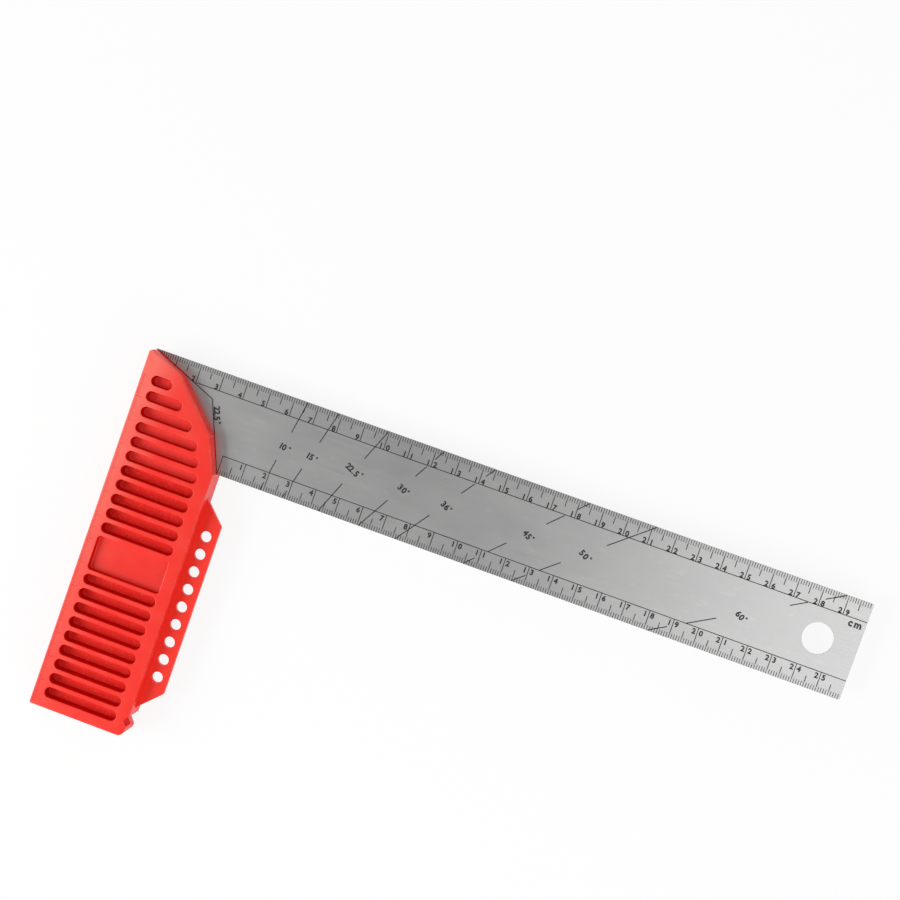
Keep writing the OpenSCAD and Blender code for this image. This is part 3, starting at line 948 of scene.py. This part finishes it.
finish_piece(join("angle_guides", guides), "square", mark_fill)
for glyph in glyphs.values():
    bpy.data.objects.remove(glyph)

# %% [markdown]
# The camera stands almost straight above the tool, a little turned, with a short telephoto lens. Its place
# and its three axes were worked out from where the marks of the blade's own scales appear in the picture.

# %% The camera
LENS, SENSOR = 64, 36
CAMERA_PLACE = (171.24, 31.40, 636.16)
CAMERA_RIGHT = Vector((0.939238, 0.332533, -0.085163))
CAMERA_UP = Vector((-0.335349, 0.941864, -0.020807))
CAMERA_BACK = Vector((0.073293, 0.048102, 0.996150))
camera = bpy.data.objects.new("photo_camera", bpy.data.cameras.new("photo_camera"))
bpy.context.scene.collection.objects.link(camera)
camera.data.lens = LENS
camera.data.sensor_width = SENSOR
camera_turn = Matrix((CAMERA_RIGHT, CAMERA_UP, CAMERA_BACK)).transposed().to_4x4()
camera.matrix_world = Matrix.Translation(spot(*CAMERA_PLACE)) @ camera_turn
bpy.context.scene.camera = camera
bpy.context.scene.view_settings.view_transform = "Standard"
print("camera at", [round(part, 3) for part in camera.location])

# %% [markdown]
# The tool lies on white. A floor lit to white by the lamps would throw so much light back that the tool's
# sides would lose their shade, so the floor shows mostly white to the camera and in reflections, with enough
# of its own board mixed in to keep the shadow, and is a plain pale board for all other light.

# %% The floor
FLOOR_SIZE, FLOOR_DROP = 6, 0.0002
BOARD = (0.9, 0.9, 0.9, 1)
WHITE = (1, 1, 1, 1)
WHITE_SHARE = 0.88
bpy.ops.mesh.primitive_plane_add(size=FLOOR_SIZE, location=(0, 0, -FLOOR_DROP))
floor = bpy.context.object
floor.name = "floor"
board = bpy.data.materials.new("white_board")
board.use_nodes = True
tree = board.node_tree
rays = tree.nodes.new("ShaderNodeLightPath").outputs
seen = Wire(rays["Is Camera Ray"])
seen = seen + Wire(rays["Is Glossy Ray"]) + Wire(rays["Is Transmission Ray"])
pale = seen.node("BsdfDiffuse", {}, {"Color": BOARD})
white = seen.node("Emission", {}, {"Color": WHITE, "Strength": 1.0})
seen.feed(tree.nodes["Material Output"].inputs["Surface"],
          seen.node("MixShader", {}, {0: seen * WHITE_SHARE, 1: pale, 2: white}))
tree.nodes.remove(tree.nodes["Principled BSDF"])
floor.data.materials.append(board)
print("floor of", round(floor.dimensions.x), "m")

# %% [markdown]
# The light is a large soft lamp from the left, which throws the short shadows inside the slots, a weaker one
# from the lower right, too low to reach their floors, and one over the blade's free end, which that end
# reflects.

# %% Lamps
def softbox(name, place, aim, size, watts):
    """A soft square lamp at a place, turned towards another."""
    lamp = bpy.data.objects.new(name, bpy.data.lights.new(name, "AREA"))
    lamp.data.size = size
    lamp.data.energy = watts
    lamp.location = place
    lamp.rotation_euler = (aim - place).to_track_quat("-Z", "Y").to_euler()
    bpy.context.scene.collection.objects.link(lamp)


handle_middle, blade_tip, over_end = spot(20, -75, 7), spot(290, -20, 7), spot(515, -93, 900)
from_left, from_right = Vector((-0.76, -0.36, 0.70)), Vector((0.65, -0.65, 0.50))
softbox("left_lamp", handle_middle + from_left, handle_middle, size=0.60, watts=8.5)
softbox("right_lamp", handle_middle + from_right, handle_middle, size=0.6, watts=3.5)
softbox("end_lamp", over_end, blade_tip, size=0.42, watts=0.84)
print("three soft lamps")

# %% [markdown]
# Steel shows what stands around it. The room is brighter low down than overhead, so the blade, which looks
# straight up, stays grey, and the handle's sides are still lit. The world's shader mixes two plain
# backgrounds by how high a ray points.

# %% The room
LOW_LIGHT, OVERHEAD_LIGHT = 1.2, 0.32
ROOM_RISE = (0.15, 0.6)
world = bpy.data.worlds.new("room")
bpy.context.scene.world = world
world.use_nodes = True
tree = world.node_tree
way = Wire(tree.nodes.new("ShaderNodeTexCoord").outputs["Generated"])
low_down = way.node("Background", {}, {"Color": WHITE, "Strength": LOW_LIGHT})
overhead = way.node("Background", {}, {"Color": WHITE, "Strength": OVERHEAD_LIGHT})
way.feed(tree.nodes["World Output"].inputs["Surface"],
         way.node("MixShader", {}, {0: way.part(2).rise(*ROOM_RISE), 1: low_down, 2: overhead}))
tree.nodes.remove(tree.nodes["Background"])
print("room made")
